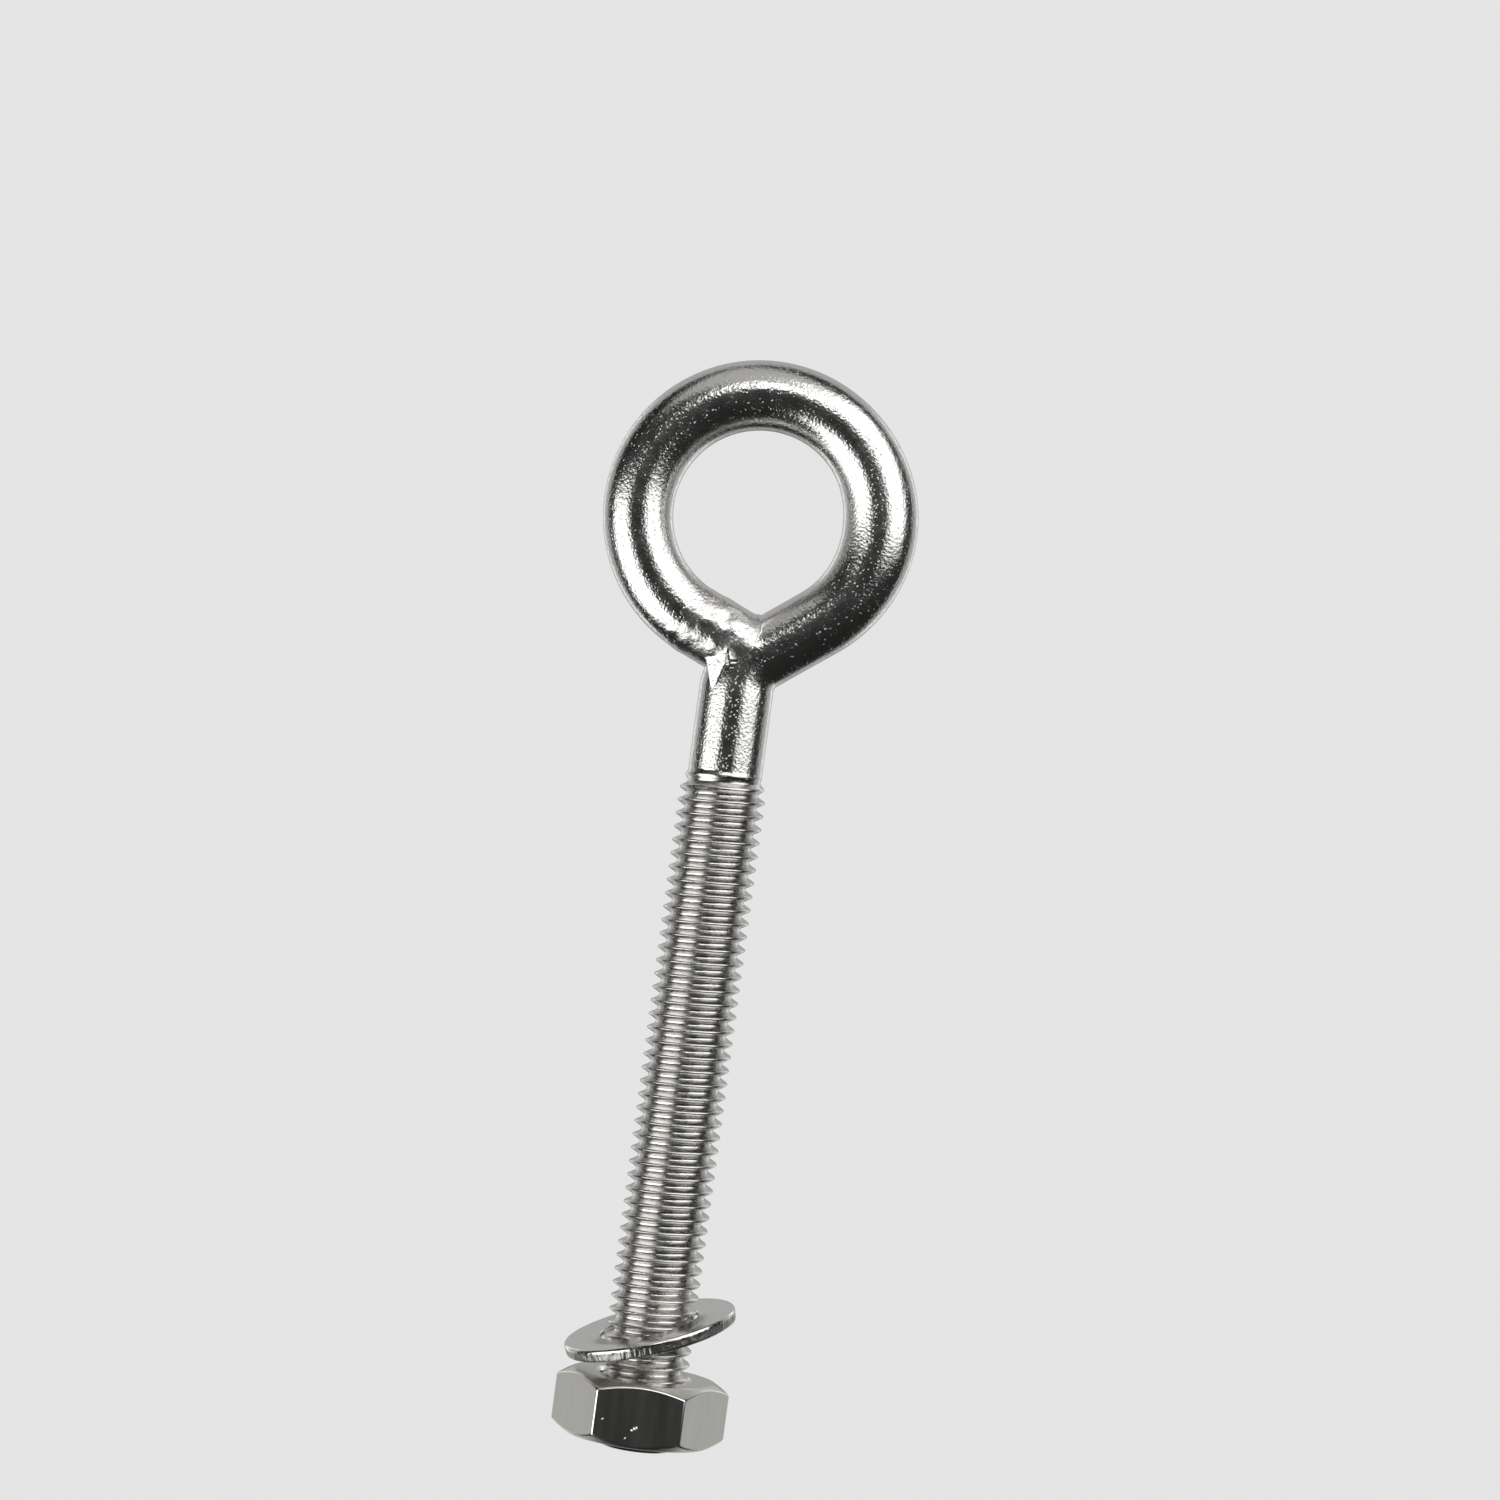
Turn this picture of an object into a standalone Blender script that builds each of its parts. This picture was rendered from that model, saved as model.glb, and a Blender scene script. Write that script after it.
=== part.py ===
"""Eye bolt: a steel bar bent into a closed eye, with a rolled M10 thread, a flat washer and a hex nut.

Run with: blender --background --python part.py

Frame: the origin is the centre of the eye, +Z points from the thread to the eye along the
shank, and the hole of the eye runs along Y. Lengths are in metres.
"""

import math

import bmesh
import bpy
from mathutils import Matrix, Vector

MM = 0.001

# Bar and eye
SHANK_RADIUS = 4.12 * MM
EYE_BAR_RADIUS = 3.9 * MM  # the bar thins a little as it is bent
SWELL = 0.3 * MM  # extra radius at the side of the eye that the bend squeezes
SWELL_ANGLE = math.radians(32)
EYE_RADIUS = 13.5 * MM  # centre of the eye to the bar's centre line
NECK_BEND_RADIUS = 5.0 * MM
RISING_ANGLE = math.radians(37)  # slope of the bar as it leaves the neck
END_ANGLE = math.radians(247)  # where the bar stops following the circle and runs straight
END_LENGTH = 2.6 * MM  # straight end along the bar's centre line
END_CUT_ANGLE = math.radians(52)  # slope of the cut end, seen along Y

# M10 coarse thread
PITCH = 1.5 * MM
CREST_RADIUS = 4.86 * MM
ROOT_RADIUS = 3.98 * MM
CREST_FLAT = 0.19 * MM
FLANK_SLOPE = math.tan(math.radians(30))
THREAD_TOP = -28.5 * MM
RUN_OUT = 2.5 * MM
TIP = -104.2 * MM
TIP_CHAMFER = 0.9 * MM
TIP_RADIUS = 3.85 * MM

# Hex nut
NUT_FLATS = 16.8 * MM
NUT_HEIGHT = 7.15 * MM
NUT_FACE_RADIUS = 7.85 * MM
NUT_CHAMFER_SLOPE = math.tan(math.radians(30))
NUT_BOTTOM = TIP + 0.9 * MM
NUT_CREST_RADIUS = 4.3 * MM
NUT_ROOT_RADIUS = 5.12 * MM
FLANK_GAP = 0.13 * MM
COUNTERSINK_RADIUS = 5.45 * MM

# Flat washer
WASHER_RADIUS = 9.7 * MM
WASHER_HOLE_RADIUS = 5.6 * MM
WASHER_THICKNESS = 1.4 * MM
WASHER_EDGE = 0.2 * MM
WASHER_HEIGHT = 5.0 * MM  # middle of the washer above the nut's top face
WASHER_ROLL = math.radians(19.6)  # tilt about Y: the +X side lies higher
WASHER_LEAN = math.radians(5.5)  # tilt about X: the +Y side lies higher

# Weld that closes the eye
WELD_CENTRE = Vector((-2.0 * MM, 0.0, -14.5 * MM))
WELD_SEMI_AXES = Vector((5.0 * MM, 3.9 * MM, 1.9 * MM))  # along the cut, across the bar, thick
GAP = 0.3 * MM

# Facets
COLUMNS = 16
PATH_STEP = math.radians(10)
ROUND_STEPS = 48


def clear_scene():
    """Remove every object, so that the script can run in any open file."""
    for old in list(bpy.data.objects):
        bpy.data.objects.remove(old, do_unlink=True)


def steel(name, colour, roughness):
    """A plain metal finish."""
    material = bpy.data.materials.new(name)
    material.use_nodes = True
    shader = material.node_tree.nodes["Principled BSDF"]
    shader.inputs["Base Color"].default_value = (*colour, 1.0)
    shader.inputs["Metallic"].default_value = 1.0
    shader.inputs["Roughness"].default_value = roughness
    return material


def add_object(name, mesh_data, material=None):
    """Turn a bmesh into a named object in the scene."""
    mesh = bpy.data.meshes.new(name)
    mesh_data.to_mesh(mesh)
    mesh_data.free()
    piece = bpy.data.objects.new(name, mesh)
    bpy.context.scene.collection.objects.link(piece)
    if material:
        mesh.materials.append(material)
    return piece


def shade_round(piece, sharp_angle=math.radians(40)):
    """Shade a round piece smooth and keep its corners crisp."""
    piece.data.shade_smooth()
    piece.data.set_sharp_from_angle(angle=sharp_angle)


def as_cutter(piece):
    """Mark a helper object that only shapes another one."""
    piece.hide_render = True
    piece.display_type = "WIRE"
    return piece


def add_boolean(piece, cutter, operation):
    """Cut a piece by a helper, or keep only what they share."""
    modifier = piece.modifiers.new(f"{operation.lower()} {cutter.name}", "BOOLEAN")
    modifier.operation = operation
    modifier.solver = "EXACT"
    modifier.object = cutter


def move_origin(piece, point):
    """Put a piece's origin at a point and leave its shape where it is."""
    piece.data.transform(Matrix.Translation(-point))
    piece.location = point


# ---------------------------------------------------------------- eye path


def direction(angle):
    """Unit vector in the plane of the eye, at an angle from +X towards +Z."""
    return Vector((math.cos(angle), 0.0, math.sin(angle)))


def neck_height():
    """Height at which the shank starts to bend, so that the rising bar is tangent to the eye."""
    across = NECK_BEND_RADIUS * (1 - math.sin(RISING_ANGLE))
    rise = NECK_BEND_RADIUS * math.cos(RISING_ANGLE)
    end = (across * math.sin(RISING_ANGLE) - EYE_RADIUS) / math.cos(RISING_ANGLE)
    return end - rise


def steps_between(start, end):
    """Evenly spaced angles from start to end, about PATH_STEP apart."""
    count = max(2, round(abs(end - start) / PATH_STEP))
    return [start + (end - start) * i / count for i in range(count + 1)]


def bar_radius(angle):
    """Radius of the bar at an angle around the eye: a little thicker at the +X side."""
    return EYE_BAR_RADIUS + SWELL * math.exp(-((angle / SWELL_ANGLE) ** 2))


def neck_stations():
    """(point, travel angle, radius) from the top of the thread to the eye's circle."""
    bend_centre = Vector((NECK_BEND_RADIUS, 0.0, neck_height()))
    stations = []
    angles = steps_between(math.pi / 2, RISING_ANGLE)
    for i, angle in enumerate(angles):
        point = bend_centre + direction(angle + math.pi / 2) * NECK_BEND_RADIUS
        share = i / (len(angles) - 1)
        radius = SHANK_RADIUS + (EYE_BAR_RADIUS - SHANK_RADIUS) * share
        stations.append((point, angle, radius))
    return stations


def eye_stations():
    """(point, travel angle, radius) once round the eye and along its straight end."""
    stations = []
    for angle in steps_between(RISING_ANGLE - math.pi / 2, END_ANGLE):
        point = direction(angle) * EYE_RADIUS
        stations.append((point, angle + math.pi / 2, bar_radius(angle)))
    return stations


def ring_points(point, travel, radius):
    """The corners of the bar's cross-section at one station."""
    outward = direction(travel - math.pi / 2)
    side = Vector((0.0, 1.0, 0.0))
    turns = (math.tau * j / COLUMNS for j in range(COLUMNS))
    return [point + (outward * math.cos(a) + side * math.sin(a)) * radius for a in turns]


def end_points(point, travel, radius, length):
    """The corners of the cut end: the bar's edges run on to a sloping plane."""
    forward = direction(travel)
    cut_normal = direction(END_CUT_ANGLE - math.pi / 2)
    plane_point = point + forward * length
    corners = []
    for corner in ring_points(point, travel, radius):
        reach = (plane_point - corner).dot(cut_normal) / forward.dot(cut_normal)
        corners.append(corner + forward * reach)
    return corners


def bridge(mesh_data, lower, upper):
    """Join two rows of vertices with a band of faces that face outwards."""
    for j in range(len(lower)):
        k = (j + 1) % len(lower)
        mesh_data.faces.new((lower[j], lower[k], upper[k], upper[j]))


def sweep(mesh_data, rows, first=None):
    """Skin rows of points one after another, from an existing row if one is given."""
    last = first
    for points in rows:
        row = [mesh_data.verts.new(p) for p in points]
        if last:
            bridge(mesh_data, last, row)
        last = row
    return last


# ---------------------------------------------------------------- thread


def ridge_distance(height, turn):
    """Axial distance from the middle of the nearest ridge of the right-hand thread."""
    along = height - PITCH * turn / math.tau
    return abs((along + PITCH / 2) % PITCH - PITCH / 2)


def ridge_radius(distance, crest, root, flat):
    """Radius of a V thread at an axial distance from the middle of its ridge."""
    return min(crest, max(root, crest - (distance - flat / 2) / FLANK_SLOPE))


def bar_thread_radius(height, turn):
    """Radius of the bar's thread, with a chamfered tip and a run-out into the shank."""
    distance = ridge_distance(height, turn)
    full = ridge_radius(distance, CREST_RADIUS, ROOT_RADIUS, CREST_FLAT)
    share = min(1.0, max(0.0, (THREAD_TOP - height) / RUN_OUT))
    chamfer = TIP_RADIUS + (height - TIP) * (CREST_RADIUS - TIP_RADIUS) / TIP_CHAMFER
    return min(SHANK_RADIUS + (full - SHANK_RADIUS) * share, chamfer)


def tap_flat():
    """Width of the tap's crest, which leaves FLANK_GAP beside each flank of the bar's thread."""
    return CREST_FLAT + 2 * (FLANK_GAP - (NUT_ROOT_RADIUS - CREST_RADIUS) * FLANK_SLOPE)


def tap_radius(height, turn):
    """Radius of the tap that cuts the nut's thread, with a countersink at both faces."""
    distance = ridge_distance(height, turn)
    thread = ridge_radius(distance, NUT_ROOT_RADIUS, NUT_CREST_RADIUS, tap_flat())
    depth = min(height - NUT_BOTTOM, NUT_BOTTOM + NUT_HEIGHT - height)
    return max(thread, COUNTERSINK_RADIUS - depth / NUT_CHAMFER_SLOPE)


def breaks_of(crest, root, flat):
    """Axial positions within one pitch where the thread's outline turns a corner."""
    inner = flat / 2
    outer = inner + (crest - root) * FLANK_SLOPE
    return (-outer, -inner, inner, outer)


def threaded_rows(mesh_data, bottom, top, breaks, radius_at):
    """A helical skin between two flat ends. Returns the bottom and the top row of vertices."""
    first_turn = math.floor(bottom / PITCH) - 1
    last_turn = math.ceil(top / PITCH) + 1
    offsets = [PITCH * n + b for n in range(first_turn, last_turn + 1) for b in breaks]
    columns = []
    for j in range(COLUMNS):
        turn = math.tau * j / COLUMNS
        column = []
        for offset in offsets:
            height = min(top, max(bottom, offset + PITCH * turn / math.tau))
            if column and height - column[-1].co.z < 1e-9:
                column.append(column[-1])
                continue
            radius = radius_at(height, turn)
            place = (radius * math.cos(turn), radius * math.sin(turn), height)
            column.append(mesh_data.verts.new(place))
        columns.append(column)
    for j in range(COLUMNS):
        here = columns[j]
        wraps = j == COLUMNS - 1
        there = columns[(j + 1) % COLUMNS]
        shift = len(breaks) if wraps else 0
        for m in range(-shift, len(offsets) - 1):
            near = (here[max(m, 0)], here[max(m + 1, 0)])
            far = [there[min(max(m + shift + s, 0), len(offsets) - 1)] for s in (0, 1)]
            corners = (near[0], far[0], far[1], near[1])
            loop = [v for i, v in enumerate(corners) if v is not corners[i - 1]]
            if len(loop) > 2:
                mesh_data.faces.new(loop)
    return [c[0] for c in columns], [c[-1] for c in columns]


# ---------------------------------------------------------------- pieces


def build_eye_rod(material):
    """The bar: rolled thread, plain shank, neck bend and the eye up to its cut end."""
    rod = bmesh.new()
    breaks = breaks_of(CREST_RADIUS, ROOT_RADIUS, CREST_FLAT)
    tip, shank = threaded_rows(rod, TIP, THREAD_TOP, breaks, bar_thread_radius)
    rod.faces.new(reversed(tip))
    rows = [ring_points(*s) for s in neck_stations() + eye_stations()]
    rows.append(end_points(*eye_stations()[-1], END_LENGTH))
    rod.faces.new(sweep(rod, rows, first=shank))
    piece = add_object("eye_rod", rod, material)
    shade_round(piece)
    return piece


def bar_cutter(name, stations, end_length=None):
    """A stretch of the bar, wider by the gap that its neighbours keep."""
    wide = [(point, travel, radius + GAP) for point, travel, radius in stations]
    rows = [ring_points(*s) for s in wide]
    if end_length:
        rows.append(end_points(*wide[-1], end_length + GAP))
    cutter = bmesh.new()
    first = [cutter.verts.new(p) for p in rows[0]]
    cutter.faces.new(reversed(first))
    cutter.faces.new(sweep(cutter, rows[1:], first=first))
    return as_cutter(add_object(name, cutter))


def build_eye_weld(material):
    """The bead that fills the wedge between the shank and the cut end of the eye."""
    bead = bmesh.new()
    bmesh.ops.create_uvsphere(bead, u_segments=20, v_segments=12, radius=1.0)
    bmesh.ops.scale(bead, vec=WELD_SEMI_AXES, verts=bead.verts)
    along_cut = Matrix.Rotation(-END_CUT_ANGLE, 3, "Y")
    bmesh.ops.rotate(bead, matrix=along_cut, verts=bead.verts)
    bmesh.ops.translate(bead, vec=WELD_CENTRE, verts=bead.verts)
    piece = add_object("eye_weld", bead, material)
    shank_start = (Vector((0.0, 0.0, THREAD_TOP)), math.pi / 2, SHANK_RADIUS)
    shank = bar_cutter("shank_cutter", [shank_start] + neck_stations() + eye_stations()[:3])
    end = bar_cutter("eye_end_cutter", eye_stations()[-8:], END_LENGTH)
    add_boolean(piece, shank, "DIFFERENCE")
    add_boolean(piece, end, "DIFFERENCE")
    shade_round(piece)
    return piece


def turned(name, outline, material=None):
    """A body turned about Z from (radius, height) corners that run anticlockwise."""
    body = bmesh.new()
    rows = []
    for i in range(ROUND_STEPS):
        turn = math.tau * i / ROUND_STEPS
        spoke = [(r * math.cos(turn), r * math.sin(turn), z) for r, z in outline]
        rows.append([body.verts.new(p) for p in spoke])
    for i in range(ROUND_STEPS):
        bridge(body, rows[i - 1], rows[i])
    bmesh.ops.recalc_face_normals(body, faces=body.faces)
    return add_object(name, body, material)


def build_flat_washer(material):
    """The loose washer, lying tilted above the nut."""
    half = WASHER_THICKNESS / 2
    outline = [
        (WASHER_HOLE_RADIUS, -half),
        (WASHER_RADIUS - WASHER_EDGE, -half),
        (WASHER_RADIUS, -half + WASHER_EDGE),
        (WASHER_RADIUS, half - WASHER_EDGE),
        (WASHER_RADIUS - WASHER_EDGE, half),
        (WASHER_HOLE_RADIUS, half),
    ]
    piece = turned("flat_washer", outline, material)
    piece.location = (0.0, 0.0, NUT_BOTTOM + NUT_HEIGHT + WASHER_HEIGHT)
    piece.rotation_euler = (WASHER_LEAN, -WASHER_ROLL, 0.0)
    shade_round(piece)
    return piece


def build_chamfer_body():
    """The turned body that rounds off a nut's corners at both faces."""
    body = bmesh.new()
    reach = NUT_FLATS * 0.62
    drop = (reach - NUT_FACE_RADIUS) * NUT_CHAMFER_SLOPE
    heights = (0.0, drop, NUT_HEIGHT - drop, NUT_HEIGHT)
    radii = (NUT_FACE_RADIUS, reach, reach, NUT_FACE_RADIUS)
    rows = []
    for radius, height in zip(radii, heights):
        turns = (math.tau * i / ROUND_STEPS for i in range(ROUND_STEPS))
        level = NUT_BOTTOM + height
        rows.append([(radius * math.cos(a), radius * math.sin(a), level) for a in turns])
    first = [body.verts.new(p) for p in rows[0]]
    body.faces.new(reversed(first))
    body.faces.new(sweep(body, rows[1:], first=first))
    return as_cutter(add_object("nut_chamfer_cutter", body))


def build_tap():
    """The tap that cuts the nut's thread, a little longer than the nut."""
    tap = bmesh.new()
    breaks = breaks_of(NUT_ROOT_RADIUS, NUT_CREST_RADIUS, tap_flat())
    bottom, top = NUT_BOTTOM - PITCH, NUT_BOTTOM + NUT_HEIGHT + PITCH
    low, high = threaded_rows(tap, bottom, top, breaks, tap_radius)
    tap.faces.new(reversed(low))
    tap.faces.new(high)
    return as_cutter(add_object("nut_tap_cutter", tap))


def build_hex_nut(material):
    """The hex nut near the tip: a hexagonal bar, chamfered at both faces and tapped."""
    nut = bmesh.new()
    corner_radius = NUT_FLATS / math.sqrt(3)
    corners = []
    for i in range(6):
        turn = math.tau * i / 6
        corners.append((corner_radius * math.cos(turn), corner_radius * math.sin(turn)))
    margin = PITCH / 2
    low = [nut.verts.new((x, y, NUT_BOTTOM - margin)) for x, y in corners]
    high = [nut.verts.new((x, y, NUT_BOTTOM + NUT_HEIGHT + margin)) for x, y in corners]
    nut.faces.new(reversed(low))
    nut.faces.new(high)
    bridge(nut, low, high)
    piece = add_object("hex_nut", nut, material)
    add_boolean(piece, build_chamfer_body(), "INTERSECT")
    add_boolean(piece, build_tap(), "DIFFERENCE")
    move_origin(piece, Vector((0.0, 0.0, NUT_BOTTOM)))
    shade_round(piece, math.radians(25))
    return piece


def main():
    """Build the four pieces."""
    clear_scene()
    build_eye_rod(steel("polished bar", (0.62, 0.62, 0.61), 0.22))
    build_eye_weld(steel("weld metal", (0.66, 0.66, 0.65), 0.3))
    build_flat_washer(steel("satin sheet", (0.52, 0.52, 0.52), 0.4))
    build_hex_nut(steel("polished nut", (0.58, 0.58, 0.57), 0.25))


if __name__ == "__main__":
    main()
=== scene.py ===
"""The finished eye bolt: a welded eye on a bright bar, with rolled thread, washer and nut.

Lengths are in metres. The origin is the centre of the eye, +Z points from the thread to the
eye, and the hole of the eye runs along Y.
"""

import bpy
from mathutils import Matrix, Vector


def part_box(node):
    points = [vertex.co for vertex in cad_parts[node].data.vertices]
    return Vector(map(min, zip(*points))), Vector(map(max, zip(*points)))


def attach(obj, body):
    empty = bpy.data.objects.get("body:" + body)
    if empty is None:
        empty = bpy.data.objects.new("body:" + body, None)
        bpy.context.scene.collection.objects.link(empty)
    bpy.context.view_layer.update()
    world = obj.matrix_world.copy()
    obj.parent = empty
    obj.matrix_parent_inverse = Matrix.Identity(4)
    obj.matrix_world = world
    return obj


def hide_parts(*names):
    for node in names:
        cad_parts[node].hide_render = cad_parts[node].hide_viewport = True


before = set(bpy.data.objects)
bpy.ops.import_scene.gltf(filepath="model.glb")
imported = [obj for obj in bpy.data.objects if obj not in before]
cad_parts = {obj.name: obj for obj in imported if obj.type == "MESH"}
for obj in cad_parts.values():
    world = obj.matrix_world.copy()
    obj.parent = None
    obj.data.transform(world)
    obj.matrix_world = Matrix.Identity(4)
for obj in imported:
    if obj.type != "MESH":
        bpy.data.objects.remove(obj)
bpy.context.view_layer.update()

import logging
import math
from collections.abc import Callable, Sequence
from dataclasses import dataclass, field
from enum import Enum

import bmesh
import bpy
from mathutils import Matrix, Vector, noise

MM = 0.001
FLANK_SLOPE = math.tan(math.radians(30))
ROUND_SIDES = 96

Piece = bpy.types.Object
Socket = bpy.types.NodeSocket

log = logging.getLogger("eye bolt")


def node_box(node: str) -> tuple[tuple[float, ...], tuple[float, ...]]:
    """Lowest and highest corner of a CAD node, to the nearest micrometre.

    Args:
        node: The node's name.

    Returns:
        The two corners, as (x, y, z).
    """
    low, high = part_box(node)
    return tuple(round(value, 6) for value in low), tuple(round(value, 6) for value in high)


ROD_LOW, ROD_HIGH = node_box("eye_rod")
WASHER_LOW, WASHER_HIGH = node_box("flat_washer")
NUT_LOW, NUT_HIGH = node_box("hex_nut")


# ---------------------------------------------------------------- modelling helpers


def deselect_all() -> None:
    """Leave no object selected, and none in edit mode."""
    if bpy.context.object and bpy.context.object.mode != "OBJECT":
        bpy.ops.object.mode_set(mode="OBJECT")
    bpy.ops.object.select_all(action="DESELECT")


def pick(piece: Piece) -> None:
    """Make one object the only selected and the active one.

    Args:
        piece: The object to pick.
    """
    deselect_all()
    piece.select_set(True)
    bpy.context.view_layer.objects.active = piece


def added(name: str) -> Piece:
    """Name the object that the last primitive operator added.

    Args:
        name: Its new name.

    Returns:
        That object.
    """
    piece = bpy.context.object
    piece.name = name
    piece.data.name = name
    return piece


def apply_place() -> None:
    """Move the picked object's place, turn and scale into its mesh."""
    bpy.ops.object.transform_apply(location=True, rotation=True, scale=True)


def edit(piece: Piece) -> None:
    """Open a piece in edit mode, all of it selected.

    Args:
        piece: The object to edit.
    """
    pick(piece)
    bpy.ops.object.mode_set(mode="EDIT")
    bpy.ops.mesh.select_all(action="SELECT")


def leave_edit() -> None:
    """Go back to object mode."""
    bpy.ops.object.mode_set(mode="OBJECT")


def apply_modifier(piece: Piece, kind: str, **settings: object) -> None:
    """Add a modifier, set it up and apply it.

    Args:
        piece: The object to change.
        kind: The modifier's type.
        settings: The modifier's own properties.
    """
    pick(piece)
    bpy.ops.object.modifier_add(type=kind)
    modifier = piece.modifiers[-1]
    for key, value in settings.items():
        setattr(modifier, key, value)
    bpy.ops.object.modifier_apply(modifier=modifier.name)


def combine(piece: Piece, other: Piece, operation: str) -> None:
    """Join, cut or intersect a piece with another, which is used up.

    Args:
        piece: The object that stays.
        other: The object that is used up.
        operation: The Boolean modifier's operation.
    """
    apply_modifier(piece, "BOOLEAN", operation=operation, object=other, solver="EXACT")
    bpy.data.objects.remove(other, do_unlink=True)


def weld_doubles(threshold: float) -> None:
    """In edit mode, merge what lies together and face all of it outwards."""
    bpy.ops.mesh.remove_doubles(threshold=threshold)
    bpy.ops.mesh.normals_make_consistent(inside=False)


def settle(piece: Piece, sharp_degrees: float = 30.0) -> None:
    """Put a finished piece's place in its mesh, face it outwards and shade it.

    Args:
        piece: The finished object.
        sharp_degrees: Corners sharper than this stay crisp.
    """
    pick(piece)
    apply_place()
    edit(piece)
    weld_doubles(1e-7)
    leave_edit()
    bpy.ops.object.shade_smooth_by_angle(angle=math.radians(sharp_degrees))


def select_faces(piece: Piece, wanted: Callable[[bmesh.types.BMFace], bool]) -> None:
    """In edit mode, select the faces for which a test on the face holds.

    Args:
        piece: The object being edited.
        wanted: The test.
    """
    bpy.ops.mesh.select_mode(type="FACE")
    bpy.ops.mesh.select_all(action="DESELECT")
    mesh = bmesh.from_edit_mesh(piece.data)
    for face in mesh.faces:
        face.select_set(wanted(face))
    bmesh.update_edit_mesh(piece.data)


def draw_outline(name: str, points: Sequence[Sequence[float]], closed: bool) -> Piece:
    """Draw a line of edges from point to point.

    Args:
        name: The object's name.
        points: The corners, in metres.
        closed: Whether the last corner joins the first.

    Returns:
        A mesh of edges alone.
    """
    corners = [Vector(point) for point in points]
    deselect_all()
    bpy.ops.mesh.primitive_plane_add(size=MM)
    outline = added(name)
    edit(outline)
    bpy.ops.mesh.select_mode(type="VERT")
    bpy.ops.mesh.merge(type="CENTER")
    bpy.ops.transform.translate(value=tuple(corners[0]))
    for here, there in zip(corners, corners[1:]):
        bpy.ops.mesh.extrude_vertices_move(TRANSFORM_OT_translate={"value": tuple(there - here)})
    if closed:
        ends = (0, len(corners) - 1)
        mesh = bmesh.from_edit_mesh(outline.data)
        for vertex in mesh.verts:
            vertex.select_set(vertex.index in ends)
        bmesh.update_edit_mesh(outline.data)
        bpy.ops.mesh.edge_face_add()
    leave_edit()
    return outline


def push(move: Vector, steps: int) -> None:
    """In edit mode, extrude the selected cap in a straight line, in equal steps."""
    for _ in range(steps):
        bpy.ops.mesh.extrude_region_move(TRANSFORM_OT_translate={"value": tuple(move / steps)})


def swing(centre: Vector, angle: float, steps: int) -> None:
    """In edit mode, spin the selected cap about a point in the plane of the eye."""
    bpy.ops.mesh.spin(steps=steps, angle=angle, center=tuple(centre), axis=(0.0, 1.0, 0.0))


def trim(piece: Piece, height: float, keep_above: bool) -> None:
    """Cut a piece level at a height, drop one side and close the cut.

    Args:
        piece: The object to cut.
        height: Where the level cut lies.
        keep_above: Whether the upper side is the one that stays.
    """
    edit(piece)
    bpy.ops.mesh.bisect(
        plane_co=(0.0, 0.0, height),
        plane_no=(0.0, 0.0, 1.0),
        use_fill=True,
        clear_inner=keep_above,
        clear_outer=not keep_above,
        threshold=1e-8,
    )
    leave_edit()


def move_radially(piece: Piece, radius_at: Callable[[float, float], float]) -> None:
    """Give each vertex a new distance from the Z axis.

    Args:
        piece: The object to reshape.
        radius_at: A function of (radius, height) that returns the new radius.
    """
    for vertex in piece.data.vertices:
        x, y, z = vertex.co
        radius = math.hypot(x, y)
        if radius < 1e-6:
            continue
        share = radius_at(radius, z) / radius
        vertex.co = (x * share, y * share, z)
    piece.data.update()


def direction(angle: float) -> Vector:
    """Unit vector in the plane of the eye, at an angle from +X towards +Z."""
    return Vector((math.cos(angle), 0.0, math.sin(angle)))


def off_line(place: Vector, start: Vector, along: Vector) -> float:
    """Distance of a place from the line through a start along a unit vector."""
    return (place - start - along * (place - start).dot(along)).length


# ---------------------------------------------------------------- the thread


@dataclass(frozen=True)
class ThreadForm:
    """One ridge of a right-hand metric thread, as an outline that a screw motion repeats."""

    pitch: float = 1.5 * MM
    crest_radius: float = ROD_HIGH[1]
    root_radius: float = 3.98 * MM
    crest_flat: float = 0.19 * MM
    crest_drop: float = 0.02 * MM
    root_rise: float = 0.01 * MM
    flank_shares: tuple[float, ...] = (0.12, 0.5, 0.84, 0.95)

    def outline(self) -> list[tuple[float, float]]:
        """Corners of one pitch, from the top down.

        Returns:
            (radius, height) pairs, with the ridge in the middle and both ends at the root.
        """
        depth = self.crest_radius - self.root_radius
        inner = self.crest_flat / 2
        outer = inner + depth * FLANK_SLOPE
        root_half = self.pitch / 2
        half = [(self.crest_radius, 0.0), (self.crest_radius - self.crest_drop, inner * 0.75)]
        for share in self.flank_shares:
            half.append((self.crest_radius - depth * share, inner + (outer - inner) * share))
        half.append((self.root_radius + self.root_rise, outer + (root_half - outer) * 0.35))
        half.append((self.root_radius, root_half))
        return half[::-1] + [(radius, -height) for radius, height in half[1:]]

    def build(self, name: str, low: float, high: float, columns: int) -> Piece:
        """Screw the outline into a helical skin that is open at both ends.

        Args:
            name: The object's name.
            low: A height that the skin reaches below.
            high: A height that the skin reaches above.
            columns: Facets in one turn.

        Returns:
            The helical mesh.
        """
        first = math.floor(low / self.pitch) - 2
        last = math.ceil(high / self.pitch) + 2
        points = [(radius, 0.0, z + first * self.pitch) for radius, z in self.outline()]
        skin = draw_outline(name, points, closed=False)
        apply_modifier(
            skin,
            "SCREW",
            steps=columns,
            render_steps=columns,
            angle=math.tau,
            iterations=last - first,
            screw_offset=self.pitch,
            use_merge_vertices=True,
            merge_threshold=1e-6,
            use_normal_calculate=True,
        )
        edit(skin)
        weld_doubles(2e-6)
        leave_edit()
        return skin


# ---------------------------------------------------------------- the bar


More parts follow.
